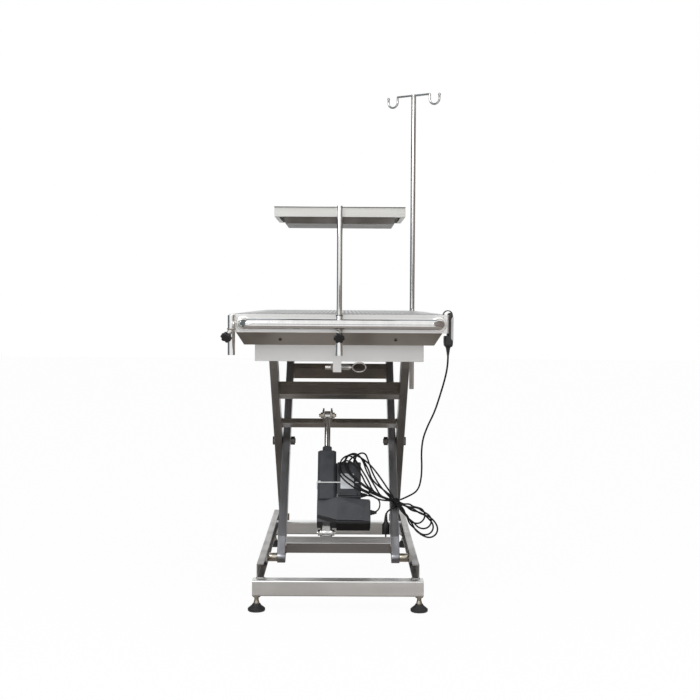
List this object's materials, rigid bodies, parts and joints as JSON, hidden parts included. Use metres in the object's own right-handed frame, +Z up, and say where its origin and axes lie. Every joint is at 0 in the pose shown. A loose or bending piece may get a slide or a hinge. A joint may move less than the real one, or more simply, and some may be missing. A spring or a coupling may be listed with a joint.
{
  "type": "electric lift veterinary examination table",
  "caption": "Scissor-lift veterinary examination table with a drained deck, push rail, instrument tray on a post, infusion pole, linear actuator and corded hand control.",
  "frame": {"origin": "on the floor under the middle of the outline, 20.3 mm in X and 11.8 mm in Y from under the middle of the table", "axes": "+X across the table to the side with the hand control, +Y along the table away from the instrument tray's end, +Z up"},
  "size_m": [0.6832, 1.3335, 1.653],
  "materials": {
    "brushed_stainless": "brushed stainless sheet, satin",
    "tube_stainless": "brushed stainless tube, satin",
    "polished_stainless": "polished bright",
    "plated_fasteners": "bright zinc plate",
    "black_rubber": "matte",
    "charcoal_plastic": "fine moulded texture, satin",
    "black_plastic": "moulded, satin",
    "grey_plastic": "smooth, satin",
    "black_cord": "smooth PVC jacket, satin"
  },
  "bodies": {
    "base": {"base_cross_tubes": "tube_stainless", "base_rail_left": "tube_stainless", "base_rail_right": "tube_stainless", "lower_pivot_pins": "plated_fasteners", "foot_studs": "plated_fasteners"},
    "foot_front_left": {"foot_pad_front_left": "black_rubber"},
    "foot_front_right": {"foot_pad_front_right": "black_rubber"},
    "foot_rear_left": {"foot_pad_rear_left": "black_rubber"},
    "foot_rear_right": {"foot_pad_rear_right": "black_rubber"},
    "outer_arms": {"outer_arm_left": "tube_stainless", "outer_arm_right": "tube_stainless", "outer_crossbars": "tube_stainless", "rod_bracket": "tube_stainless", "centre_pivot_bolts": "plated_fasteners", "upper_axles": "plated_fasteners"},
    "upper_rollers": {"upper_rollers": "grey_plastic"},
    "inner_arms": {"inner_arm_left": "tube_stainless", "inner_arm_right": "tube_stainless", "inner_crossbars": "tube_stainless", "foot_bracket": "tube_stainless", "lower_axles": "plated_fasteners"},
    "lower_rollers": {"lower_rollers": "grey_plastic"},
    "actuator": {"motor_housing": "charcoal_plastic", "spindle_housing": "charcoal_plastic", "actuator_lug": "polished_stainless", "control_box": "charcoal_plastic", "motor_cord": "black_cord", "control_lead": "black_cord", "hank_over_box": "black_cord", "hank_over_arm": "black_cord", "mains_tail": "black_cord", "mains_plug": "black_plastic"},
    "push_rod": {"actuator_rod": "polished_stainless", "rod_pin": "plated_fasteners"},
    "top": {"subframe_side_left": "brushed_stainless", "subframe_side_right": "brushed_stainless", "subframe_ends": "brushed_stainless", "upper_pivot_pins": "plated_fasteners", "table_top": "brushed_stainless", "drain_basin": "brushed_stainless", "push_rail": "polished_stainless", "post_sockets": "polished_stainless", "pole_socket": "polished_stainless", "latch_bracket": "brushed_stainless", "handset_cord": "black_cord"},
    "deck": {"deck_panel": "brushed_stainless"},
    "post_bush": {"post_liner": "black_plastic"},
    "tray": {"tray_post": "polished_stainless", "tray_frame": "brushed_stainless"},
    "dish": {"tray_dish": "brushed_stainless"},
    "pole_bush": {"pole_liner": "black_plastic"},
    "pole": {"infusion_pole": "polished_stainless", "hook_bar": "polished_stainless"},
    "centre_knob": {"centre_knob": "black_plastic"},
    "corner_knob": {"corner_knob": "black_plastic"},
    "pole_knob": {"pole_knob": "black_plastic"},
    "lock_pin": {"lock_pin": "polished_stainless"},
    "handset": {"handset_case": "black_plastic"},
    "button_up": {"button_up": "grey_plastic"},
    "button_down": {"button_down": "grey_plastic"}
  },
  "joints": [
    {"name": "lift", "type": "hinge", "parent": "base", "child": "outer_arms", "pos_m": [-0.0203, 0.4202, 0.113], "axis": [-1, 0, 0], "range_deg": [-17.2, 7.8]},
    {"name": "scissor", "type": "hinge", "parent": "outer_arms", "child": "inner_arms", "pos_m": [-0.0203, 0.07295, 0.42787], "axis": [-1, 0, 0], "range_deg": [-15.7, 34.5]},
    {"name": "top_pivot", "type": "hinge", "parent": "inner_arms", "child": "top", "pos_m": [-0.0203, 0.4202, 0.74274], "axis": [-1, 0, 0], "range_deg": [-17.3, 7.9], "deforming": ["handset_cord"]},
    {"name": "lower_roller_spin", "type": "hinge", "parent": "inner_arms", "child": "lower_rollers", "pos_m": [-0.0203, -0.2743, 0.113], "axis": [1, 0, 0], "continuous": true},
    {"name": "upper_roller_spin", "type": "hinge", "parent": "outer_arms", "child": "upper_rollers", "pos_m": [-0.0203, -0.2743, 0.74274], "axis": [1, 0, 0], "continuous": true},
    {"name": "actuator_foot", "type": "hinge", "parent": "inner_arms", "child": "actuator", "pos_m": [-0.0203, -0.2233, 0.17801], "axis": [1, 0, 0], "range_deg": [-0.9, 1.9]},
    {"name": "rod_slide", "type": "slide", "parent": "actuator", "child": "push_rod", "axis": [0, 0.5574, 0.8303], "range_m": [-0.0655, 0.03]},
    {"name": "foot_swivel_front_left", "type": "hinge", "parent": "base", "child": "foot_front_left", "pos_m": [-0.2538, -0.4773, 0], "axis": [0, 0, 1], "continuous": true},
    {"name": "foot_swivel_front_right", "type": "hinge", "parent": "base", "child": "foot_front_right", "pos_m": [0.2132, -0.4773, 0], "axis": [0, 0, 1], "continuous": true},
    {"name": "foot_swivel_rear_left", "type": "hinge", "parent": "base", "child": "foot_rear_left", "pos_m": [-0.2538, 0.4537, 0], "axis": [0, 0, 1], "continuous": true},
    {"name": "foot_swivel_rear_right", "type": "hinge", "parent": "base", "child": "foot_rear_right", "pos_m": [0.2132, 0.4537, 0], "axis": [0, 0, 1], "continuous": true},
    {"name": "deck_lift", "type": "slide", "parent": "top", "child": "deck", "axis": [0, 0, 1], "range_m": [0, 0.08]},
    {"name": "tray_swing", "type": "hinge", "parent": "top", "child": "post_bush", "pos_m": [-0.0203, -0.6219, 0.84974], "axis": [0, 0, 1], "continuous": true},
    {"name": "tray_height", "type": "slide", "parent": "post_bush", "child": "tray", "axis": [0, 0, 1], "range_m": [-0.18, 0.04]},
    {"name": "dish_lift", "type": "slide", "parent": "tray", "child": "dish", "axis": [0, 0, 1], "range_m": [0, 0.06]},
    {"name": "pole_turn", "type": "hinge", "parent": "top", "child": "pole_bush", "pos_m": [0.2457, 0.6003, 0.84974], "axis": [0, 0, 1], "continuous": true},
    {"name": "pole_height", "type": "slide", "parent": "pole_bush", "child": "pole", "axis": [0, 0, 1], "range_m": [-0.2, 0.15]},
    {"name": "centre_knob_turn", "type": "hinge", "parent": "top", "child": "centre_knob", "pos_m": [-0.0203, -0.6219, 0.81074], "axis": [0, -0.788, -0.6157], "range_deg": [-360, 360]},
    {"name": "corner_knob_turn", "type": "hinge", "parent": "top", "child": "corner_knob", "pos_m": [-0.3143, -0.6219, 0.81074], "axis": [-0.3454, -0.7083, -0.6157], "range_deg": [-360, 360]},
    {"name": "pole_knob_turn", "type": "hinge", "parent": "top", "child": "pole_knob", "pos_m": [0.2457, 0.6003, 0.81074], "axis": [0, 0.788, -0.6157], "range_deg": [-360, 360]},
    {"name": "lock_pin_pull", "type": "slide", "parent": "top", "child": "lock_pin", "axis": [1, 0, 0], "range_m": [0, 0.009], "stiffness_N_per_m": 900, "springref_m": -0.004},
    {"name": "handset_lift", "type": "slide", "parent": "top", "child": "handset", "axis": [0, 0, 1], "range_m": [0, 0.008]},
    {"name": "up_press", "type": "slide", "parent": "handset", "child": "button_up", "axis": [-1, 0, 0], "range_m": [0, 0.0015], "stiffness_N_per_m": 900, "springref_m": -0.001},
    {"name": "down_press", "type": "slide", "parent": "handset", "child": "button_down", "axis": [-1, 0, 0], "range_m": [0, 0.0015], "stiffness_N_per_m": 900, "springref_m": -0.001}
  ],
  "couplings": [
    {"joint": "scissor", "follows": "lift", "ratio": -2},
    {"joint": "top_pivot", "follows": "lift", "ratio": 1},
    {"joint": "actuator_foot", "follows": "lift", "ratio": -0.1019},
    {"joint": "rod_slide", "follows": "lift", "m_per_rad": 0.2173}
  ]
}
